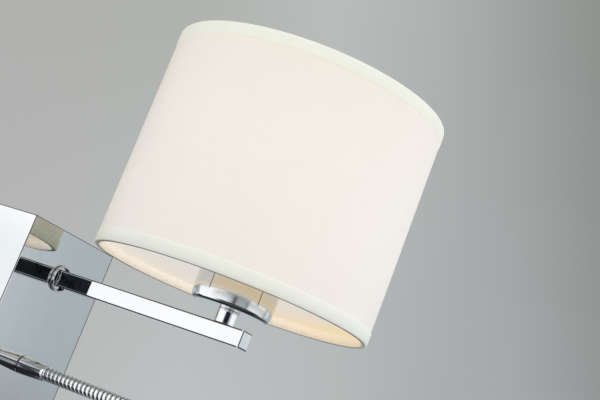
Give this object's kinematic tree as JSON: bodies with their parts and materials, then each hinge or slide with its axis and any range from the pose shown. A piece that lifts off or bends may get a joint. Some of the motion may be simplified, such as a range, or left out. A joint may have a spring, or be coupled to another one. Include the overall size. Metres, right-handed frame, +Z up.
{
  "type": "bedside wall lamp",
  "caption": "Chrome hotel bedside wall lamp: square arm with a fabric drum shade, rocker switches and a gooseneck reading light on a flat wall box.",
  "frame": {"origin": "centre of the wall face, the back of the mounting plate, in the wall's plane", "axes": "+Z is up the wall, +Y points into the wall, so the arm and the gooseneck stand out along -Y, and +X is to the right for someone facing the lamp"},
  "size_m": [0.16, 0.2966, 0.3123],
  "materials": {
    "chrome": "polished chrome plate",
    "steel": "zinc-plated steel",
    "brass": "bare brass",
    "black_plastic": "black moulded plastic",
    "white_plastic": "white moulded plastic",
    "rubber": "black rubber",
    "lead_brown": "PVC insulation",
    "lead_blue": "PVC insulation",
    "lead_green": "PVC insulation",
    "fabric": "cream cotton-look cloth",
    "trim": "pale woven tape",
    "liner": "translucent styrene liner",
    "white_wire": "white powder coat",
    "opal_glass": "opal glass",
    "clear_optic": "clear acrylic",
    "aluminium": "turned",
    "led_board": "white solder mask",
    "led_phosphor": "phosphor"
  },
  "bodies": {
    "wall_unit": {"wall_box": "chrome", "mounting_plate": "steel", "cover_screws": "chrome", "cable_grommet": "rubber", "terminal_block": "white_plastic", "terminal_screws": "brass", "earth_screw": "brass", "led_driver": "white_plastic", "lamp_leads": "lead_brown", "reading_leads": "lead_blue", "switch_leads": "lead_brown", "earth_lead": "lead_green", "switch_body_lamp": "black_plastic", "switch_body_reading": "black_plastic", "switch_terminals": "brass", "arm_tube": "chrome", "arm_end_cap": "chrome", "arm_root_stud": "steel", "arm_collar": "chrome", "panel_nuts": "steel", "post_tube": "chrome", "post_nipple": "steel", "post_nut": "steel", "lamp_cup": "chrome", "holder_nut": "steel", "holder_cap": "white_plastic", "holder_body": "white_plastic", "holder_shell": "brass", "holder_contact": "brass", "shade_clamp_lower": "white_plastic", "shade_clamp_ring": "white_plastic", "bulb_cap": "aluminium", "bulb_collar": "white_plastic", "bulb_globe": "opal_glass", "shade_fabric": "fabric", "shade_liner": "liner", "shade_trim_top": "trim", "shade_trim_bottom": "trim", "shade_wire_top": "white_wire", "shade_wire_bottom": "white_wire", "shade_hub": "white_wire", "shade_arms": "white_wire", "flex_ferrule": "chrome", "flex_stud": "steel", "hose_link_0": "chrome"},
    "rocker_lamp": {"switch_rocker_lamp": "black_plastic"},
    "rocker_reading": {"switch_rocker_reading": "black_plastic"},
    "flex_1": {"hose_link_1": "chrome"},
    "flex_2": {"hose_link_2": "chrome"},
    "flex_3": {"hose_link_3": "chrome"},
    "flex_4": {"hose_link_4": "chrome"},
    "flex_5": {"hose_link_5": "chrome", "head_ferrule": "chrome", "head_housing": "chrome", "head_heatsink": "aluminium", "head_led_board": "led_board", "head_led_chip": "led_phosphor", "head_optic": "clear_optic", "head_bezel": "chrome"}
  },
  "joints": [
    {"name": "lamp_switch", "type": "hinge", "parent": "wall_unit", "child": "rocker_lamp", "pos_m": [-0.017, -0.043, -0.046], "axis": [1, 0, 0], "range_deg": [-20, 0]},
    {"name": "reading_switch", "type": "hinge", "parent": "wall_unit", "child": "rocker_reading", "pos_m": [0.017, -0.043, -0.046], "axis": [1, 0, 0], "range_deg": [-20, 0]},
    {"name": "flex_root_pitch", "type": "hinge", "parent": "wall_unit", "child": "flex_1", "pos_m": [0, -0.075, -0.0065], "axis": [1, 0, 0], "range_deg": [-15, 30]},
    {"name": "flex_root_yaw", "type": "hinge", "parent": "flex_1", "child": "flex_2", "pos_m": [0, -0.115, -0.0065], "axis": [0, 0, 1], "range_deg": [-30, 30]},
    {"name": "flex_mid_pitch", "type": "hinge", "parent": "flex_2", "child": "flex_3", "pos_m": [0, -0.15499, -0.00684], "axis": [1, 0, 0], "range_deg": [-15, 30]},
    {"name": "flex_mid_yaw", "type": "hinge", "parent": "flex_3", "child": "flex_4", "pos_m": [0, -0.19365, -0.01637], "axis": [0, -0.3971, 0.9178], "range_deg": [-30, 30]},
    {"name": "flex_head_pitch", "type": "hinge", "parent": "flex_4", "child": "flex_5", "pos_m": [0, -0.22706, -0.03802], "axis": [1, 0, 0], "range_deg": [-15, 30]}
  ]
}
